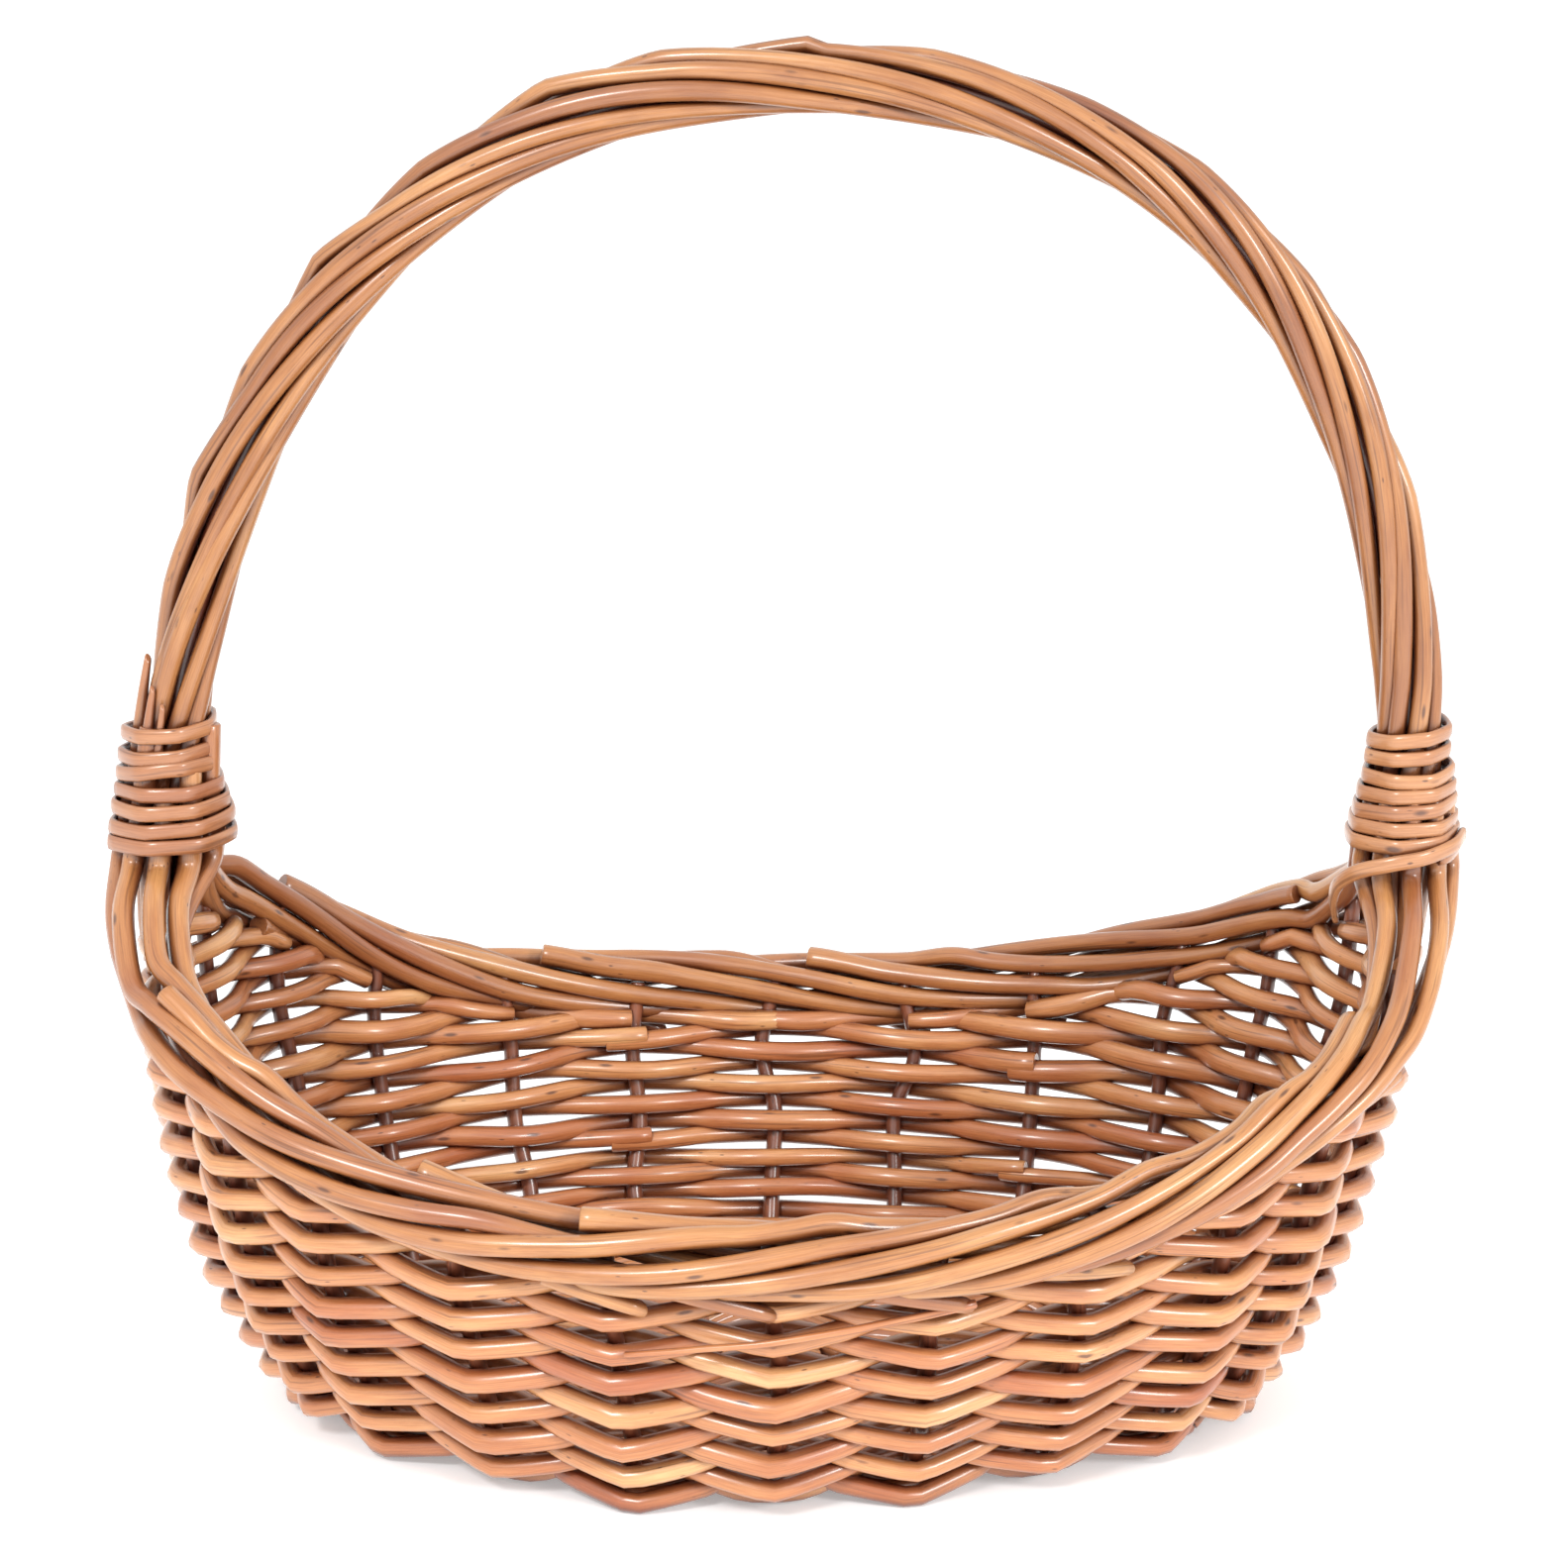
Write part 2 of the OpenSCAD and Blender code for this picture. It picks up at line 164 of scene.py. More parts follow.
def oval(a, out):
    """Points of the base oval moved out, where the outward normal is at angle a."""
    c, s = np.cos(a), np.sin(a)
    at_end = np.arctan2(np.abs(s), np.abs(c)) <= END_SPAN
    x = np.where(at_end, np.sign(c) * END_X + (END_R + out) * c, (SIDE_R + out) * c)
    y = np.where(at_end, (END_R + out) * s, (SIDE_R + out) * s - np.sign(s) * SIDE_Y)
    return x, y


def stake_angle(k):
    """Normal angle beside stake k: 0 is the right end, 6 the back, 12 the left, 18 the front."""
    k = np.asarray(k, float)
    quarter = np.floor(k / QUARTER)
    j = k - QUARTER * quarter
    odd = quarter % 2 == 1
    j = np.where(odd, QUARTER - j, j)
    q = np.where(j <= END_STEPS, j * END_GAP, QUARTER_ARC - (QUARTER - j) * SIDE_GAP)
    on_end = q / (END_R + SPACING_FLARE)
    on_side = math.pi / 2 - (QUARTER_ARC - q) / (SIDE_R + SPACING_FLARE)
    angle = np.where(q <= END_ARC, on_end, on_side)
    return math.pi / 2 * quarter + np.where(odd, math.pi / 2 - angle, angle)


def wall_points(k, z, out):
    """Points of the wall beside stakes k at height z, moved out from the stakes' middle line."""
    s = TOP_SIN - z / WALL_R
    c = np.sqrt(1 - s * s)
    r = STAKE_LINE_R + out
    x, y = oval(stake_angle(k), r * c - WALL_R * TOP_COS)
    return np.stack([x, y, WALL_R * TOP_SIN - r * s + 0 * x], -1)


def border_z(k):
    """Height of the border's middle beside stakes k."""
    z = 120.0 + 0 * np.asarray(k, float)
    longest = HALF_LEN + flare(BORDER_HIGH)
    for _ in range(5):
        x = oval(stake_angle(k), flare(z))[0]
        rise = (BORDER_HIGH - BORDER_LOW) * np.minimum(1, np.abs(x) / longest) ** BORDER_SWEEP
        z = BORDER_LOW + rise
    return z


def arch_points(t):
    """Middle line of the arch: t is pi at the left foot and 0 at the right foot."""
    c, s = np.cos(t), np.maximum(0, np.sin(t))
    x = np.sign(c) * ARCH_HALF * np.abs(c) ** (2 / ARCH_POWER)
    z = BORDER_HIGH + (ARCH_TOP - BORDER_HIGH) * s ** (2 / ARCH_POWER)
    return np.stack([x, 0 * x, z], -1)


def arch_x(z):
    """Half span of the arch's middle line at height z."""
    s = np.maximum(0, (z - BORDER_HIGH) / (ARCH_TOP - BORDER_HIGH))
    return ARCH_HALF * (1 - s ** ARCH_POWER) ** (1 / ARCH_POWER)


def arch_angle(z):
    """Angle t at which the arch is at height z, on the right."""
    return math.asin(((z - BORDER_HIGH) / (ARCH_TOP - BORDER_HIGH)) ** (ARCH_POWER / 2))


# How far the real basket strays sideways from a regular one, by height, at its two ends.
STRAY_Z = (0.0, 90.0, 150.0, 185.0, 230.0, 330.0, 380.0, 412.0)
STRAY_LEFT = (-3.4, -2.6, -2.8, 0.8, 1.1, 3.9, 5.7, 7.0)
STRAY_RIGHT = (2.2, -0.6, 4.6, 4.4, 7.8, 11.0, 11.8, 7.8)
BACK_RIGHT_RISE = 5.0
BACK_LEFT_RISE = 3.0
END_LIFT = 2.4
FRONT_BULGE = 6.0


def stray(points):
    """Moves points as the real basket strays from a regular shape. The two ends of its back
    border and of its base are a little higher, and its foot bulges in front."""
    x, y, z = points.T
    right = ease(0.5 + x / 300)
    left_by, right_by = np.interp(z, STRAY_Z, STRAY_LEFT), np.interp(z, STRAY_Z, STRAY_RIGHT)
    moved = points.copy()
    moved[:, 0] += (1 - right) * left_by + right * right_by
    behind = ease(y / 60) * ease((z - 60) / 40) * ease((230 - z) / 60)
    moved[:, 2] += BACK_RIGHT_RISE * behind * ease((x - 30) / 90) * ease((200 - x) / 40)
    moved[:, 2] += BACK_LEFT_RISE * behind * ease((-x - 110) / 40) * ease((x + 205) / 40)
    low = ease(1 - z / 70)
    moved[:, 1] -= FRONT_BULGE * low * ease(-y / 60) * ease(1 - np.abs(x + 35) / 90)
    moved[:, 2] += END_LIFT * low * ease((np.abs(x + 10) - 50) / 90)
    return moved


def ease(x):
    """0 below 0, 1 above 1, and a smooth step between."""
    x = np.clip(x, 0, 1)
    return x * x * (3 - 2 * x)


# ---- Chance, the same on every run ----

def chance(name):
    """A random source that belongs to one piece, so that pieces don't disturb each other."""
    return np.random.default_rng(zlib.crc32(name.encode()))


def wander(rng, n, every, size):
    """n smooth random values around 0, with a knot every so many points."""
    knots = rng.normal(0, size, max(4, int(n / every) + 3))
    at = np.linspace(0, len(knots) - 1.001, n)
    i = at.astype(int)
    f = ease(at - i)
    return knots[i] * (1 - f) + knots[i + 1] * f


# ---- Meshes ----

class Rods:
    """Gathers round rods and flat strips into one mesh with coordinates for their grain."""

    def __init__(self, name):
        self.name = name
        self.rng = chance(name)
        self.verts, self.faces, self.grain, self.tone = [], [], [], []

    def sweep(self, path, section, grain_r, tone):
        """Sweeps rings of corners along a path. section(i, u, v) gives ring i's corners."""
        n = len(path)
        tangents = np.gradient(path, axis=0)
        tangents /= np.linalg.norm(tangents, axis=1)[:, None]
        u = np.cross(tangents[0], [0.31, 0.17, 0.93])
        u /= np.linalg.norm(u)
        length = np.concatenate([[0], np.cumsum(np.linalg.norm(np.diff(path, axis=0), axis=1))])
        start = len(self.verts)
        shift = self.rng.uniform(0, 900)
        sides = 0
        for i in range(n):
            t = tangents[i]
            u = u - t * (u @ t)
            u /= np.linalg.norm(u)
            ring = section(i, u, np.cross(t, u))
            sides = len(ring)
            for s, corner in enumerate(ring):
                a = 2 * math.pi * s / sides
                self.verts.append(path[i] + corner)
                self.grain.append((grain_r * math.cos(a) + shift, grain_r * math.sin(a),
                                   length[i] + 7 * shift))
                self.tone.append(tone)
        for i in range(n - 1):
            for s in range(sides):
                a, b = start + i * sides + s, start + i * sides + (s + 1) % sides
                self.faces.append((a, b, b + sides, a + sides))
        self.faces.append(tuple(start + s for s in range(sides))[::-1])
        self.faces.append(tuple(start + (n - 1) * sides + s for s in range(sides)))

    def rod(self, path, radius, sides=12, slant=0.0, oval_by=0.0):
        """A willow rod. Its ends are cut across, or on a slant, with a slightly worn edge."""
        path = np.asarray(path, float)
        radius = np.broadcast_to(np.asarray(radius, float), len(path)).copy()
        first, last = path[0] - path[1], path[-1] - path[-2]
        first /= np.linalg.norm(first)
        last /= np.linalg.norm(last)
        worn = 0.35
        path = np.vstack([path[0] + worn * first, path, path[-1] + worn * last])
        radius = np.concatenate([[radius[0] - worn], radius, [radius[-1] - worn]])
        n = len(path)
        angles = 2 * math.pi * np.arange(sides) / sides
        phase = self.rng.uniform(0, math.pi)
        lumps = 1 + oval_by * np.cos(2 * (angles - phase))

        def section(i, u, v):
            corners = radius[i] * lumps[:, None] * (np.cos(angles)[:, None] * u
                                                    + np.sin(angles)[:, None] * v)
            if slant and i >= n - 2:
                corners = corners + slant * radius[i] * np.cos(angles)[:, None] * last
            return corners

        self.sweep(path, section, float(radius.mean()), self.rng.uniform(0, 1))

    def strip(self, path, outward, width, thick):
        """A flat skein, width across the path and thick along outward."""
        path, outward = np.asarray(path, float), np.asarray(outward, float)
        corners = [(-0.5, 0.15), (-0.42, 0.5), (-0.2, 0.62), (0.2, 0.62), (0.42, 0.5),
                   (0.5, 0.15), (0.42, -0.3), (-0.42, -0.3)]
        along = np.gradient(path, axis=0)
        along /= np.linalg.norm(along, axis=1)[:, None]

        def section(i, u, v):
            o = outward[i] - along[i] * (outward[i] @ along[i])
            o /= np.linalg.norm(o)
            across = np.cross(along[i], o)
            return np.array([width * c * across + thick * h * o for c, h in corners])

        self.sweep(path, section, width / 3, self.rng.uniform(0, 1))

    def build(self, material, slot, *nodes):
        """Makes the mesh object, sets it riding on the basket and hides what it replaces."""
        mesh = bpy.data.meshes.new(self.name)
        mesh.from_pydata((MM * stray(np.array(self.verts))).tolist(), [], self.faces)
        mesh.polygons.foreach_set("use_smooth", [len(f) < 7 for f in self.faces])
        grain = mesh.attributes.new("grain", "FLOAT_VECTOR", "POINT")
        grain.data.foreach_set("vector", np.array(self.grain, np.float32).ravel())
        tone = mesh.attributes.new("tone", "FLOAT", "POINT")
        tone.data.foreach_set("value", np.array(self.tone, np.float32))
        mesh.validate()
        mesh.update()
        piece = bpy.data.objects.new(self.name, mesh)
        bpy.context.scene.collection.objects.link(piece)
        mesh.materials.append(material)
        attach(piece, "root")
        if nodes:
            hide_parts(*nodes)
        return piece


# ---- Materials ----

def linear(r, g, b):
    """A colour given as 0 to 255 on a screen, as Blender's linear values."""
    return tuple((c / 255 / 12.92) if c < 11 else ((c / 255 + 0.055) / 1.055) ** 2.4
                 for c in (r, g, b)) + (1.0,)


class Nodes:
    """Short calls for building a node tree."""

    def __init__(self, material):
        material.use_nodes = True
        self.tree = material.node_tree
        self.bsdf = self.tree.nodes["Principled BSDF"]

    def add(self, kind, values=None, **settings):
        made = self.tree.nodes.new(kind)
        for key, value in settings.items():
            setattr(made, key, value)
        for key, value in (values or {}).items():
            made.inputs[key].default_value = value
        return made

    def link(self, out, into):
        self.tree.links.new(out, into)

    def scaled_grain(self, across, along):
        """Grain coordinates, with so many cells per mm across the rod and along it."""
        grain = self.add("ShaderNodeAttribute", attribute_name="grain")
        mapping = self.add("ShaderNodeMapping")
        mapping.inputs["Scale"].default_value = (across, across, along)
        self.link(grain.outputs["Vector"], mapping.inputs["Vector"])
        return mapping.outputs["Vector"]

    def noise(self, across, along, detail=3.0, rough=0.55):
        made = self.add("ShaderNodeTexNoise", {"Scale": 1.0, "Detail": detail,
                                               "Roughness": rough})
        self.link(self.scaled_grain(across, along), made.inputs["Vector"])
        return made.outputs["Fac"]

    def ramp(self, fac, stops):
        made = self.add("ShaderNodeValToRGB")
        ramp = made.color_ramp
        while len(ramp.elements) < len(stops):
            ramp.elements.new(0.5)
        for element, (at, colour) in zip(ramp.elements, stops):
            element.position = at
            element.color = colour
        self.link(fac, made.inputs["Fac"])
        return made.outputs["Color"]

    def mix(self, fac, a, b, blend="MIX"):
        made = self.add("ShaderNodeMix", data_type="RGBA", blend_type=blend)
        for value, socket in ((fac, made.inputs[0]), (a, made.inputs[6]), (b, made.inputs[7])):
            if isinstance(value, (float, tuple)):
                socket.default_value = value
            else:
                self.link(value, socket)
        return made.outputs[2]

    def math(self, operation, a, b=0.0):
        made = self.add("ShaderNodeMath", operation=operation)
        for value, socket in ((a, made.inputs[0]), (b, made.inputs[1])):
            if isinstance(value, float):
                socket.default_value = value
            else:
                self.link(value, socket)
        return made.outputs[0]


BLACK, WHITE = (0, 0, 0, 1), (1, 1, 1, 1)
BARK = linear(74, 36, 20)

# Each willow's pale, middle and ruddy tone, and how rough its varnish is. The border and handle
# tones are partly painted shade: they are darker than the weavers' to offset the key light, which
# falls more on the top of the basket.
WILLOWS = {
    "weaver_willow": ((236, 190, 134), (214, 152, 98), (180, 104, 62), 0.36),
    # Painted shade: darker than the weavers' tones to offset the stronger light on the rim.
    "border_willow": ((214, 164, 108), (192, 132, 78), (158, 94, 54), 0.36),
    "stake_willow": ((184, 118, 80), (158, 92, 60), (122, 66, 42), 0.45),
    # Painted shade: darker than the weavers' tones to offset the stronger light on the handle.
    "handle_willow": ((200, 146, 92), (172, 114, 64), (134, 76, 42), 0.36),
    "skein_willow": ((220, 168, 122), (196, 140, 94), (162, 102, 66), 0.36),
}


def willow(name, pale, mid, ruddy, rough_by):
    """Varnished buff willow: colour drifts along each rod, with fine fibres and dark bud marks,
    and painted shade darkens it in the gaps between rods."""
    pale, mid, ruddy = linear(*pale), linear(*mid), linear(*ruddy)
    material = bpy.data.materials.new(name)
    n = Nodes(material)
    tone = n.add("ShaderNodeAttribute", attribute_name="tone").outputs["Fac"]
    drift = n.noise(0.05, 0.018, 2.0)
    patches = n.noise(0.22, 0.05, 3.0)
    fibres = n.noise(2.4, 0.09, 4.0, 0.65)
    shade = n.math("ADD", n.math("MULTIPLY", tone, 0.3), n.math("MULTIPLY", drift, 0.88))
    colour = n.ramp(shade, [(0.22, pale), (0.5, mid), (0.86, ruddy)])
    stain = n.ramp(patches, [(0.5, BLACK), (0.78, WHITE)])
    colour = n.mix(n.math("MULTIPLY", stain, 0.55), colour, ruddy)
    streaks = n.ramp(fibres, [(0.3, (0.74, 0.64, 0.54, 1)), (0.62, (1.06, 1.05, 1.04, 1))])
    colour = n.mix(0.8, colour, streaks, "MULTIPLY")
    scars = n.ramp(n.noise(0.9, 0.02, 2.0), [(0.6, BLACK), (0.7, WHITE)])
    colour = n.mix(n.math("MULTIPLY", scars, 0.5), colour, BARK)
    buds = n.add("ShaderNodeTexVoronoi", {"Scale": 1.0, "Randomness": 1.0})
    n.link(n.scaled_grain(0.17, 0.045), buds.inputs["Vector"])
    spot = n.ramp(buds.outputs["Distance"], [(0.06, WHITE), (0.13, BLACK)])
    flecks = n.add("ShaderNodeTexVoronoi", {"Scale": 1.0, "Randomness": 1.0})
    n.link(n.scaled_grain(0.5, 0.13), flecks.inputs["Vector"])
    fleck = n.ramp(flecks.outputs["Distance"], [(0.07, WHITE), (0.14, BLACK)])
    rare = n.ramp(n.noise(0.1, 0.03, 1.0), [(0.5, BLACK), (0.6, WHITE)])
    marks = n.math("MAXIMUM", spot, n.math("MULTIPLY", fleck, rare))
    marks = n.math("MULTIPLY", marks, 0.8)
    colour = n.mix(marks, colour, BARK)
    # Painted shade: ambient occlusion darkens the colour to a dark red-brown where rods lie close
    # together, in the gaps and crevices between them.
    crevice = n.add("ShaderNodeAmbientOcclusion", {"Distance": 0.011}, samples=6)
    painted_crevice_shade = n.ramp(crevice.outputs["AO"], [(0.3, (0.28, 0.15, 0.1, 1)), (0.8, WHITE)])
    colour = n.mix(1.0, colour, painted_crevice_shade, "MULTIPLY")
    n.link(colour, n.bsdf.inputs["Base Color"])
    rough = n.math("ADD", n.math("MULTIPLY", fibres, 0.25), rough_by - 0.1)
    n.link(rough, n.bsdf.inputs["Roughness"])
    n.bsdf.inputs["Coat Weight"].default_value = 1.0
    n.bsdf.inputs["Coat Roughness"].default_value = 0.22
    relief = n.math("SUBTRACT", n.math("MULTIPLY", fibres, 0.5), n.math("MULTIPLY", marks, 0.7))
    relief = n.math("ADD", relief, n.math("MULTIPLY", patches, 0.6))
    bump = n.add("ShaderNodeBump", {"Strength": 0.35, "Distance": 0.0006})
    n.link(relief, bump.inputs["Height"])
    n.link(bump.outputs["Normal"], n.bsdf.inputs["Normal"])
    return material


def pale_floor():
    """Matt white paper, very slightly mottled. A faint glow keeps the ground white."""
    material = bpy.data.materials.new("pale_floor")
    n = Nodes(material)
    noise = n.add("ShaderNodeTexNoise", {"Scale": 3.0, "Detail": 2.0})
    greys = [(0.3, (0.9, 0.9, 0.9, 1)), (0.7, (0.93, 0.93, 0.93, 1))]
    colour = n.ramp(noise.outputs["Fac"], greys)
    n.link(colour, n.bsdf.inputs["Base Color"])
    n.bsdf.inputs["Roughness"].default_value = 0.9
    n.bsdf.inputs["Emission Color"].default_value = (1, 1, 1, 1)
    n.bsdf.inputs["Emission Strength"].default_value = 0.3
    return material


# ---- Weave ----

def weave_offset(k, row, amp):
    """Offset of a weaver: a sharp bend outside one stake, a rounder one inside the next."""
    t = (np.asarray(k, float) + row) % 2
    saw = 1 - 2 * (1 - np.abs(t - 1))
    outer = np.minimum(saw, 0.94) / 0.94
    inner = -np.sin(np.pi / 2 * -np.minimum(saw, 0))
    return amp * np.where(saw > 0, outer, inner)


def weaver_path(rods, first, last, z, row, per_step=9):
    """Path of a weaver of one row from stake position first to last."""
    n = max(3, int(abs(last - first) * per_step) + 1)
    k = np.linspace(first, last, n)
    rise = z + wander(rods.rng, n, per_step, 0.62)
    amp = WEAVE_AMP * (1 + wander(rods.rng, n, 2 * per_step, 0.05))
    out = weave_offset(k, row, amp)
    path = wall_points(k, rise, out)
    facing = np.sin(stake_angle(k))
    path[:, 2] += np.where(facing < 0, FRONT_DROP, BACK_LIFT) * out * facing
    return path


def weaver_radius(rods, n, butt, tip):
    """A rod's radius, from its thick butt to its thinner tip."""
    own = rods.rng.uniform(0.94, 1.05)
    return own * np.linspace(butt, tip, n) + wander(rods.rng, n, 12, 0.08)


def wall_row(i, material):
    """One row: two rods that meet beside stakes at the basket's ends. In every third row
    their cut ends stick out."""
    name = "wall_row_%02d" % (i + 1)
    rods = Rods(name)
    z = FIRST_ROW_Z + i * ROW_PITCH
    start = 2 * QUARTER * (i % 2) + 2 * (i % 3) - 3
    start += (start + i + 1) % 2
    middle = start + 2 * QUARTER + 2 * (i % 3 - 1)
    for first, last in ((start, middle), (middle, start + STAKES)):
        path = weaver_path(rods, first - 0.05, last + 0.14, z, i)
        ends = np.linspace(0, 1, len(path))
        path[:, 2] += 1.3 * (np.maximum(0, 1 - 18 * ends) - np.maximum(0, 18 * ends - 17))
        if i % 3 == 0:
            path[:, 0] += CUT_END_OUT * np.sign(path[:, 0]) * ease(40 * ends - 39)
        if rods.rng.uniform() < 0.5:
            path = path[::-1]
        butt, tip = WEAVER_R + 0.3, WEAVER_R - 0.35
        rods.rod(path, weaver_radius(rods, len(path), butt, tip), oval_by=0.03)
    if i == ROWS - 2:
        sliver(rods, z)
    rods.build(material, "weaver_willow", name)


def sliver(rods, z, points=30):
    """A thin split of willow that lies loose on the front of a row at height z."""
    k = np.linspace(17.1, 19.2, points)
    path = wall_points(k, np.linspace(z - 9, z + 8, points),
                       9.6 + wander(rods.rng, points, 8, 0.5))
    rods.rod(path, np.linspace(0.9, 1.3, points), sides=8)


def under_border(k):
    """Height of the wall's edge, just under the border."""
    return border_z(k) - BORDER_COIL - 0.5 * BORDER_R


def packing(end, name, material):
    """Rods that fill the wall up to the border, bent down beside it where they end."""
    rods = Rods(name)
    top_z = FIRST_ROW_Z + (ROWS - 1) * ROW_PITCH
    away = np.linspace(0, QUARTER, 121)
    for i in range(PACKING_ROWS):
        z = top_z + (i + 1) * ROW_PITCH
        free = under_border(away) >= z - 0.7 * ROW_PITCH
        reach = QUARTER if free.all() else away[np.argmin(free)]
        if reach < 0.4:
            continue
        first, last = end - reach - 0.1, end + reach + 0.1
        path = weaver_path(rods, first, last, z, ROWS + i)
        k = np.linspace(first, last, len(path))
        path[:, 2] -= np.maximum(0, path[:, 2] - under_border(k))
        tucked = ease(1 - (reach + 0.1 - np.abs(k - end)) / 0.45)
        outward = np.stack([np.cos(stake_angle(k)), np.sin(stake_angle(k)), 0 * k], -1)
        path += 3.5 * tucked[:, None] * outward
        if rods.rng.uniform() < 0.5:
            path = path[::-1]
        rods.rod(path, weaver_radius(rods, len(path), WEAVER_R + 0.15, WEAVER_R - 0.4),
                 oval_by=0.03)
    rods.build(material, "weaver_willow", name)


def smooth(path, passes=1):
    """Softens the bends of a path without moving its ends."""
    path = np.array(path, float)
    for _ in range(passes):
        path[1:-1] = (path[:-2] + 2 * path[1:-1] + path[2:]) / 4
    return path


def stakes(first, last, name, material):
    """Upright rods from the base's edge to the border, each with its tail in the base."""
    rods = Rods(name)
    for k in range(first, last + 1):
        top = float(border_z(k)) + 1.0
        if k % (2 * QUARTER) == 0:
            top = BOW_LOW.z - 1
        z = np.linspace(5.7, top, 26)
        lean = wander(rods.rng, len(z), 9, 0.035)
        lean[:4] = 0
        path = wall_points(k + lean, z, 0.0 * z)
        inward = -np.array([math.cos(stake_angle(k)), math.sin(stake_angle(k)), 0])
        tail = [path[0] + inward * d for d in (TAIL_LEN, 9.0, 5.0, 2.0)]
        path = smooth(np.vstack([tail, path]))
        radius = np.linspace(STAKE_R + 0.15, STAKE_R - 0.2, len(path))
        rods.rod(path, radius, oval_by=0.04)
    rods.build(material, "stake_willow", name)


# ---- Base ----

def stick_xs():
    """Places of the sticks across the base, each in line with a stake of the front and back."""
    return [float(oval(stake_angle(QUARTER - i), 0.0)[0]) for i in range(-3, 4)]


def inner_half_wid(x):
    """Half length of the stick across the base at x, which ends before the stakes' tails."""
    out = -TAIL_LEN - TAIL_GAP
    if abs(x) <= (SIDE_R + out) * math.cos(END_SPAN):
        return math.sqrt((SIDE_R + out) ** 2 - x * x) - SIDE_Y
    return math.sqrt((END_R + out) ** 2 - (abs(x) - END_X) ** 2)


def inner_half_len(y):
    """Half length of the stick along the base at y."""
    return END_X + math.sqrt((END_R - TAIL_LEN - TAIL_GAP) ** 2 - y * y)


def base_sticks(material):
    """Thick sticks across the base and thin ones along it, which pass through them."""
    cross = Rods("base_cross_sticks")
    for x in stick_xs():
        y = np.linspace(-inner_half_wid(x), inner_half_wid(x), 24)
        bow = wander(cross.rng, len(y), 8, 0.25)
        cross.rod(np.stack([x + bow, y, BASE_Z + 0 * y], -1),
                  CROSS_STICK_R + wander(cross.rng, len(y), 6, 0.08), oval_by=0.04)
    cross.build(material, "stake_willow", "base_cross_sticks")
    along = Rods("base_long_sticks")
    for j in (-1, 0, 1):
        x = np.linspace(-1, 1, 40) * inner_half_len(j * LONG_STICK_GAP)
        y = j * LONG_STICK_GAP + wander(along.rng, len(x), 10, 0.2)
        along.rod(np.stack([x, y, BASE_Z + 0 * x], -1), LONG_STICK_R)
    along.build(material, "stake_willow", "base_long_sticks")


def crossings(x, y):
    """Where a closed ring passes the sticks' lines, as positions along its points."""
    lines = [x - stick for stick in stick_xs()] + [y - j * LONG_STICK_GAP for j in (-1, 0, 1)]
    found = []
    for side in lines:
        for i in np.nonzero(side[:-1] * side[1:] < 0)[0]:
            found.append(i + side[i] / (side[i] - side[i + 1]))
    return sorted(found)


def pair_rise(beat, twin, course):
    """How far one rod of a pair lies above the sticks' middle. It changes side at each beat."""
    rise = BASE_LIFT * np.cos(math.pi * (beat + twin + course))
    return np.clip(1.25 * rise, -BASE_LIFT, BASE_LIFT)


def base_ring(rods, course, points=300):
    """A pair of rods that go once round the base."""
    x, y = oval(np.linspace(0, 2 * math.pi, points), -BASE_EDGE - COURSE_PITCH * course)
    at = crossings(x, y)
    at = [at[-1] - points + 1] + at + [at[0] + points - 1]
    beat = np.interp(np.arange(points), at, np.arange(len(at)))
    for twin in (0, 1):
        rise = pair_rise(beat, twin, course)
        path = np.stack([x, y, BASE_Z + rise + wander(rods.rng, points, 30, 0.15)], -1)
        join = 5 + int(rods.rng.integers(0, 60))
        path = np.roll(path[:-1], join, axis=0)
        radius = BASE_ROD_R + wander(rods.rng, points - 1, 18, 0.1)
        rods.rod(smooth(path), radius, BASE_SIDES)


def base_arcs(rods, course, points=80):
    """Two pairs of rods along the middle of the base, bowed as the oval's sides are."""
    r = SIDE_R - BASE_EDGE - COURSE_PITCH * course
    reach = math.sqrt(r * r - (SIDE_Y + BASE_ROD_R) ** 2)
    x = np.linspace(-reach, reach, points)
    y = np.sqrt(r * r - x * x) - SIDE_Y
    sticks = sorted(stick_xs())
    beat = np.interp(x, sticks, np.arange(len(sticks)))
    for half in (-1, 1):
        for twin in (0, 1):
            path = np.stack([x, half * y, BASE_Z + pair_rise(beat, twin, course)], -1)
            rods.rod(smooth(path), BASE_ROD_R, BASE_SIDES)


def base_weave(material):
    """Pairing: two rods cross between the sticks, one over a stick as the other goes under."""
    rods = Rods("base_weave")
    for course in range(RING_COURSES):
        base_ring(rods, course)
    for course in range(RING_COURSES, RING_COURSES + ARC_COURSES):
        base_arcs(rods, course)
    rods.build(material, "weaver_willow", "base_weave")


def foot_rod(material):
    """The lowest rod, woven round the stakes' feet. The basket stands on it, on z = 0."""
    rods = Rods("foot_rod")
    path = weaver_path(rods, 0.45, STAKES + 0.4, FOOT_ROD_Z, 1)
    rods.rod(path, weaver_radius(rods, len(path), WEAVER_R + 0.2, WEAVER_R - 0.2))
    heights = np.array(rods.verts)[:, 2]
    rods.verts = [v * [1, 1, 0] + [0, 0, max(h, 0.0)] for v, h in zip(rods.verts, heights)]
    rods.build(material, "weaver_willow", "foot_rod")


# ---- Border ----

def border_points(k, b, coil):
    """Points round the border's middle line. Angle b is 0 below, 90 inside and 180 above."""
    z, a = border_z(k), stake_angle(k)
    x, y = oval(a, flare(z))
    out = -coil * np.sin(b)
    return np.stack([x + out * np.cos(a), y + out * np.sin(a), z - coil * np.cos(b)], -1)


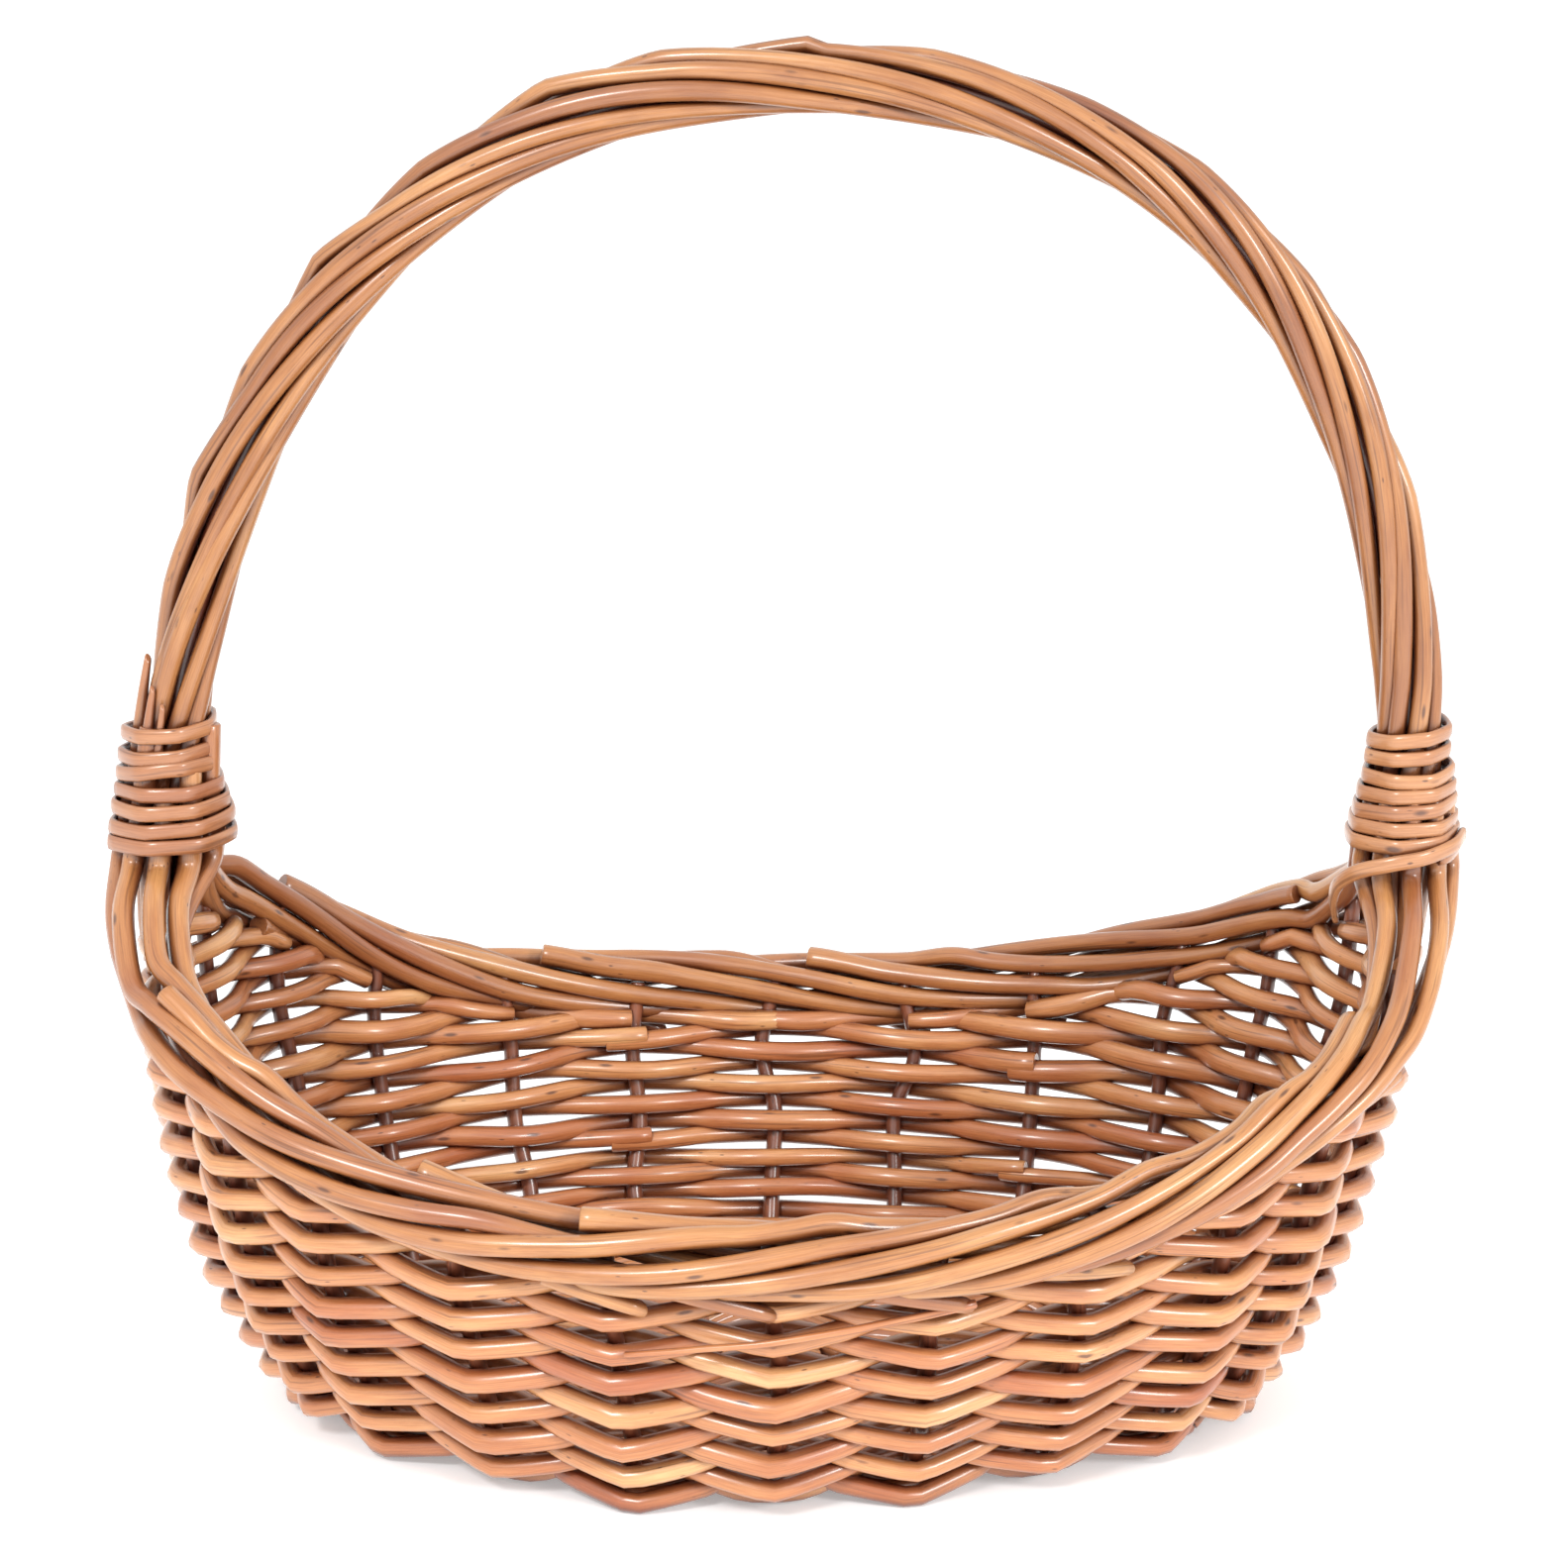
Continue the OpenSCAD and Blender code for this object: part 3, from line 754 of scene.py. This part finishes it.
def spline(points, per_span=6):
    """A smooth curve through points."""
    p = np.vstack([2 * points[0] - points[1], points, 2 * points[-1] - points[-2]])
    made = []
    for i in range(1, len(p) - 2):
        for t in np.arange(per_span) / per_span:
            made.append(0.5 * (2 * p[i] + (p[i + 1] - p[i - 1]) * t
                               + (2 * p[i - 1] - 5 * p[i] + 4 * p[i + 1] - p[i + 2]) * t * t
                               + (3 * p[i] - p[i - 1] - 3 * p[i + 1] + p[i + 2]) * t ** 3))
    made.append(p[-2])
    return np.array(made)


def lay(m):
    """Angle at which rod m of the border's full lay starts, from below round the outside."""
    return 2 * math.pi * (1 - (m + 0.5) / BORDER_LAY)


def foot_lay(i):
    """Angle at which rod i leaves for the handle foot."""
    return 2 * math.pi * (1 - (i + 0.5) / BORDER_RODS)


def border_line(rods, m, i, kinks):
    """Stations k, angles b and the line of a border rod: m is its place in the full lay,
    and i is its place at the feet, or None for a rod that ends before them."""
    n = 150
    share = np.linspace(0, 1, n)
    start = BORDER_START if i is not None else SHORT_START
    k = 2 * QUARTER + start + (2 * QUARTER - 2 * start) * share
    along = (k - 2 * QUARTER - BORDER_START) / (2 * QUARTER - 2 * BORDER_START)
    at_foot = lay(m) if i is None else foot_lay(i)
    inside = ease(along / 0.2) * ease((1 - along) / 0.2)
    b = at_foot + (lay(m) - at_foot) * inside - BORDER_TURN * along
    b = b + wander(rods.rng, n, 16, 0.08)
    coil = BORDER_COIL + 0.3 + wander(rods.rng, n, 12, 0.4)
    for place in kinks:
        on_top = np.argmin(np.abs(k - place))
        if math.cos(b[on_top] - math.radians(150)) > math.cos(math.pi / BORDER_LAY):
            coil = coil + 2.4 * np.exp(-((k - k[on_top]) / 0.22) ** 2)
    if i is None:
        ends = np.maximum(1 - share / 0.06, 1 - (1 - share) / 0.06).clip(0, 1)
        coil = coil + 3.0 * ends
    return k, b, border_points(k, b, coil)


def foot_leg(half, side, b, i, near):
    """Points of a border rod's end, from beside the border up the handle foot to its tip."""
    a = ((b % (2 * math.pi)) - math.pi) / (2 * math.pi / BORDER_RODS) * FOOT_SPREAD
    tip = FOOT_MID - 2 - 5 * (i % 3)
    if (half, side, i % 3) == ("front", -1, 1):
        tip += 17
    z = np.array([FOOT_BOTTOM - 1, FOOT_BOTTOM + 9, FOOT_BOTTOM + 20, tip])
    coil = np.array([FOOT_COIL + 0.6, FOOT_COIL - 0.2, FOOT_COIL - 1.6, FOOT_COIL - 3.0])
    x = side * arch_x(z) + side * coil * math.sin(a)
    leg = np.stack([x, -coil * math.cos(a), z], -1)
    shoulder = 0.55 * leg[0] + 0.45 * near
    shoulder[0] += side * 3.4 * (0.4 + 0.6 * abs(math.sin(a)))
    shoulder[2] += 1.5
    return np.vstack([shoulder, leg])


def border_way(rods, half, m, i):
    """The whole way of a border rod, with its station and its angle at each point."""
    k, b, line = border_line(rods, m, i, BORDER_KINKS[half])
    if i is None:
        whole = spline(line[::4], 5)
        stations = np.interp(np.linspace(0, 1, len(whole)), np.linspace(0, 1, len(k)), k)
    else:
        middle = line[::5]
        left = foot_leg(half, -1, b[0], i, middle[0])[::-1]
        right = foot_leg(half, 1, b[-1], i, middle[-1])
        whole = spline(np.vstack([left, middle, right]), 6)
        legs = 6 * len(left)
        share = np.linspace(0, 1, len(whole) - 2 * legs)
        between = np.interp(share, np.linspace(0, 1, len(k)), k)
        stations = np.concatenate([np.full(legs, k[0]), between, np.full(legs, k[-1])])
    if half == "back":
        whole = whole * [1, -1, 1]
    return whole, stations, np.interp(stations, k, b)


def top_breaks(half, stations, angles):
    """Places where a rod is on top of the border as it passes one of the border's breaks."""
    found = [0]
    for place in BORDER_BREAKS[half]:
        at = int(np.argmin(np.abs(stations - place)))
        if math.cos(angles[at] - math.radians(165)) > math.cos(math.pi / BORDER_LAY):
            found.append(at)
    return found + [len(stations)]


def border_length(rods, whole, first, last):
    """One length of border rod. Its tip dives under the butt of the next, which lies proud."""
    path = whole[first:min(len(whole), last + 8)].copy()
    n = len(path)
    radius = np.linspace(BORDER_R + 0.2, BORDER_R - 0.3, n) + wander(rods.rng, n, 8, 0.08)
    if last < len(whole):
        dive = np.clip((np.arange(n) - (n - 22)) / 16, 0, 1)
        path[:, 2] -= 6.0 * ease(dive)
        radius = radius - 0.6 * dive
    if first > 0:
        path[:, 2] += 1.6 * (1 - ease(np.arange(n) / 14))
        radius = radius + 0.35 * (1 - ease(np.arange(n) / 30))
    rods.rod(path, radius, slant=0.4, oval_by=0.04)


def border_tip(rods, half, place, points=12):
    """The tip of a rod that comes out under the border on the outside, cut on a slant."""
    k = np.linspace(place - 0.55, place, points)
    fall = np.linspace(7.0, 15.5, points)
    path = wall_points(k, border_z(k) - fall, 12.0 - 0.25 * fall)
    if half == "back":
        path = path * [1, -1, 1]
    rods.rod(path, np.linspace(2.9, 2.4, points), slant=0.9)


def border_rod(i, half, material):
    """A long rod of a half border, and for two of them a short one where it is fullest."""
    name = "%s_border_rod_%02d" % (half, i + 1)
    rods = Rods(name)
    lays = [(LONG_RODS[i], i)]
    if i in SHORT_RODS:
        lays.append((SHORT_RODS[i], None))
    for m, at_foot in lays:
        whole, stations, angles = border_way(rods, half, m, at_foot)
        cuts = top_breaks(half, stations, angles)
        for first, last in zip(cuts[:-1], cuts[1:]):
            border_length(rods, whole, first, last)
    if i < len(BORDER_TIPS):
        border_tip(rods, half, BORDER_TIPS[i])
    rods.build(material, "border_willow", name)


# ---- Handle ----

def handle_bow(material):
    """The bow inside the handle, which runs down into both end walls."""
    low = arch_angle(FOOT_BOTTOM)
    arch = arch_points(np.linspace(math.pi - low, low, 90))
    leg_z = np.arange(BOW_LOW.z + 2, BORDER_HIGH - 8, 6.0)
    right = wall_points(0 * leg_z, leg_z, 0 * leg_z)
    rods = Rods("handle_bow")
    path = np.vstack([right * [-1, 1, 1], arch, right[::-1]])
    radius = np.full(len(path), BOW_R)
    radius[:len(right)] = radius[-len(right):] = BOW_LEG_R
    rods.rod(smooth(path, 2), smooth(radius[:, None], 3)[:, 0], oval_by=0.04)
    rods.build(material, "stake_willow", "handle_bow")


def handle_rod(i, material, n=190):
    """A rod roped round the bow, kinked where it turns over the arch's outer side."""
    low = arch_angle(FOOT_BOTTOM + 1)
    arch = arch_points(np.linspace(math.pi - low, low, n))
    ahead = np.gradient(arch, axis=0)
    ahead /= np.linalg.norm(ahead, axis=1)[:, None]
    out = np.stack([-ahead[:, 2], 0 * ahead[:, 0], ahead[:, 0]], -1)
    steps = np.concatenate([[0], np.cumsum(np.linalg.norm(np.diff(arch, axis=0), axis=1))])
    share = steps / steps[-1]
    name = "handle_rod_%02d" % (i + 1)
    rods = Rods(name)
    turn = 2 * math.pi * (STRAND_TURNS * share + i / STRANDS)
    turn = turn + wander(rods.rng, n, 26, 0.1)
    wrap = (turn + math.pi) % (2 * math.pi) - math.pi
    coil = STRAND_COIL + wander(rods.rng, n, 18, 0.3)
    sharp = KINK_SHARP if i % 2 else KINK_SOFT
    kink = np.where(share < 0.5, sharp, 1.0) * np.maximum(0, 1 - np.abs(wrap) / 0.6) ** 1.4
    kink *= np.clip((share - 0.08) / 0.08, 0, 1) * np.clip((0.9 - share) / 0.08, 0, 1)
    coil = coil + kink
    around = np.cos(turn)[:, None] * out + np.sin(turn)[:, None] * np.array([0, -1, 0])
    path = arch + coil[:, None] * around
    down = np.linspace(0, 1, 9)[1:, None]
    depth = 34 + 6 * (i % 3)
    left = path[0] + down * ([0, 0, -depth] - 4.0 * around[0])
    right = path[-1] + down * ([0, 0, -depth] - 4.0 * around[-1])
    path = np.vstack([left[::-1], path, right])
    radius = np.linspace(STRAND_R + 0.3, STRAND_R - 0.15, len(path))
    radius = radius + wander(rods.rng, len(path), 14, 0.1)
    if i % 2:
        radius = radius[::-1]
    rods.rod(path, radius, oval_by=0.05)
    rods.build(material, "handle_willow", name)


def binding(side, name, material):
    """Flat willow skein wound up round a handle foot, snug over the rods and loose at its top."""
    rods = Rods(name)
    on_left = side < 0
    n = int(BINDING_TURNS[-1] * 48)
    turn = np.linspace(0, BINDING_TURNS[-1], n)
    a = 2 * math.pi * turn + math.radians(40 if on_left else -60)
    lifts = LEFT_LIFTS if on_left else RIGHT_LIFTS
    z = FOOT_BOTTOM + np.interp(turn, BINDING_TURNS, lifts)
    z = z + wander(rods.rng, n, 15, 0.5)
    wide = FOOT_COIL + BORDER_R + (2.5 if on_left else 0.8)
    slim = STRAND_COIL + STRAND_R + (3.0 if on_left else 1.7)
    taper = ease((z - FOOT_BOTTOM - 2) / (FOOT_MID + 8 - FOOT_BOTTOM))
    r = wide + (slim - wide) * taper
    corner = np.abs(((a / math.radians(51)) % 1) - 0.5) * 2
    r = r * (1 - 0.06 * (1 - corner ** 2)) + wander(rods.rng, n, 9, 0.25)
    shift = 1.2 - 3.4 * taper if on_left else -0.6 + 0.6 * taper
    x = side * arch_x(z) + r * np.cos(a) + shift
    path = np.stack([x, r * np.sin(a), z], -1)
    outward = np.stack([np.cos(a), np.sin(a), 0 * a], -1)
    rods.strip(path, outward, SKEIN_W, SKEIN_T)
    if on_left:
        cut_tips(rods)
    else:
        binding_hook(rods)
    rods.build(material, "skein_willow", name)


def cut_tips(rods, points=12):
    """Tips of rods that stand up out of the left binding, cut on a long slant."""
    coil = STRAND_COIL + STRAND_R + 1.2
    for a, low, high, r in ((3.45, 0, 30, 2.4), (4.0, 6, 22, 1.9), (4.4, -2, 17, 1.7)):
        z = np.linspace(FOOT_MID + low, FOOT_MID + high, points)
        x = -arch_x(z) + coil * math.cos(a)
        path = np.stack([x, coil * math.sin(a) + 0 * z, z], -1)
        rods.rod(path, np.linspace(r, 0.45 * r, points), slant=1.2)


def binding_hook(rods):
    """The skein's lowest turn on the right, which hooks down round a border rod."""
    foot = np.array([arch_x(FOOT_BOTTOM), 0, FOOT_BOTTOM + 10])
    hook = np.array([(16.5, -3.0, 1.0), (12.0, -12.0, 0.0), (3.0, -18.0, -2.0),
                     (-7.0, -18.5, -4.0), (-16.0, -14.5, -7.5), (-20.5, -8.5, -13.0),
                     (-21.0, -3.0, -20.0), (-19.0, 2.0, -27.0)])
    path = spline(hook + foot, 8)
    outward = (path - foot) * [1, 1, 0]
    rods.strip(path, outward, SKEIN_W, SKEIN_T)


# ---- Stage ----

def camera():
    """The photograph's view: a little above the rim, almost square to the front."""
    target = Vector((0.0009, 0, 0.1957))
    elevation, azimuth, roll = math.radians(15.44), math.radians(-0.68), math.radians(0.72)
    distance = 1.0464
    back = Vector((math.sin(azimuth) * math.cos(elevation),
                   -math.cos(azimuth) * math.cos(elevation), math.sin(elevation)))
    data = bpy.data.cameras.new("camera")
    data.lens, data.sensor_width = 80.6, 36
    data.clip_start, data.clip_end = 0.05, 50
    made = bpy.data.objects.new("camera", data)
    made.rotation_mode = "QUATERNION"
    made.rotation_quaternion = ((-back).to_track_quat("-Z", "Y")
                                @ Quaternion((0, 0, 1), roll))
    made.location = target + back * distance
    bpy.context.scene.collection.objects.link(made)
    bpy.context.scene.camera = made


def area_light(name, place, size, watts):
    """A soft square light aimed at the middle of the basket."""
    data = bpy.data.lights.new(name, "AREA")
    data.shape, data.size, data.energy = "SQUARE", size, watts
    made = bpy.data.objects.new(name, data)
    made.location = place
    made.rotation_mode = "QUATERNION"
    made.rotation_quaternion = (Vector((0, 0, 0.15)) - Vector(place)).to_track_quat("-Z", "Y")
    bpy.context.scene.collection.objects.link(made)


def studio():
    """A pale floor under even, soft light."""
    mesh = bpy.data.meshes.new("floor")
    reach = 20.0
    mesh.from_pydata([(-reach, -reach, 0), (reach, -reach, 0), (reach, reach, 0),
                      (-reach, reach, 0)], [], [(0, 1, 2, 3)])
    mesh.materials.append(pale_floor())
    floor = bpy.data.objects.new("floor", mesh)
    bpy.context.scene.collection.objects.link(floor)
    world = bpy.data.worlds.new("studio")
    world.use_nodes = True
    world.node_tree.nodes["Background"].inputs["Color"].default_value = (1, 1, 1, 1)
    world.node_tree.nodes["Background"].inputs["Strength"].default_value = 1.0
    bpy.context.scene.world = world
    area_light("key", (-0.7, -1.5, 1.5), 0.35, 20)
    area_light("fill", (1.3, -1.5, 1.1), 0.4, 19)
    bpy.context.scene.view_settings.view_transform = "Standard"


# ---- The basket ----

def main():
    camera()
    studio()
    finish = {name: willow(name, *colours) for name, colours in WILLOWS.items()}
    weaver, border, stake, grip, skein = finish.values()

    base_sticks(stake)
    base_weave(weaver)
    foot_rod(weaver)
    stakes(-2, 2, "right_stakes", stake)
    stakes(3, 9, "back_stakes", stake)
    stakes(10, 14, "left_stakes", stake)
    stakes(15, 21, "front_stakes", stake)
    for i in range(ROWS):
        wall_row(i, weaver)
    packing(2 * QUARTER, "left_packing", weaver)
    packing(0, "right_packing", weaver)
    for half in ("front", "back"):
        for i in range(BORDER_RODS):
            border_rod(i, half, border)
    handle_bow(stake)
    for i in range(STRANDS):
        handle_rod(i, grip)
    binding(-1, "left_binding", skein)
    binding(1, "right_binding", skein)


main()
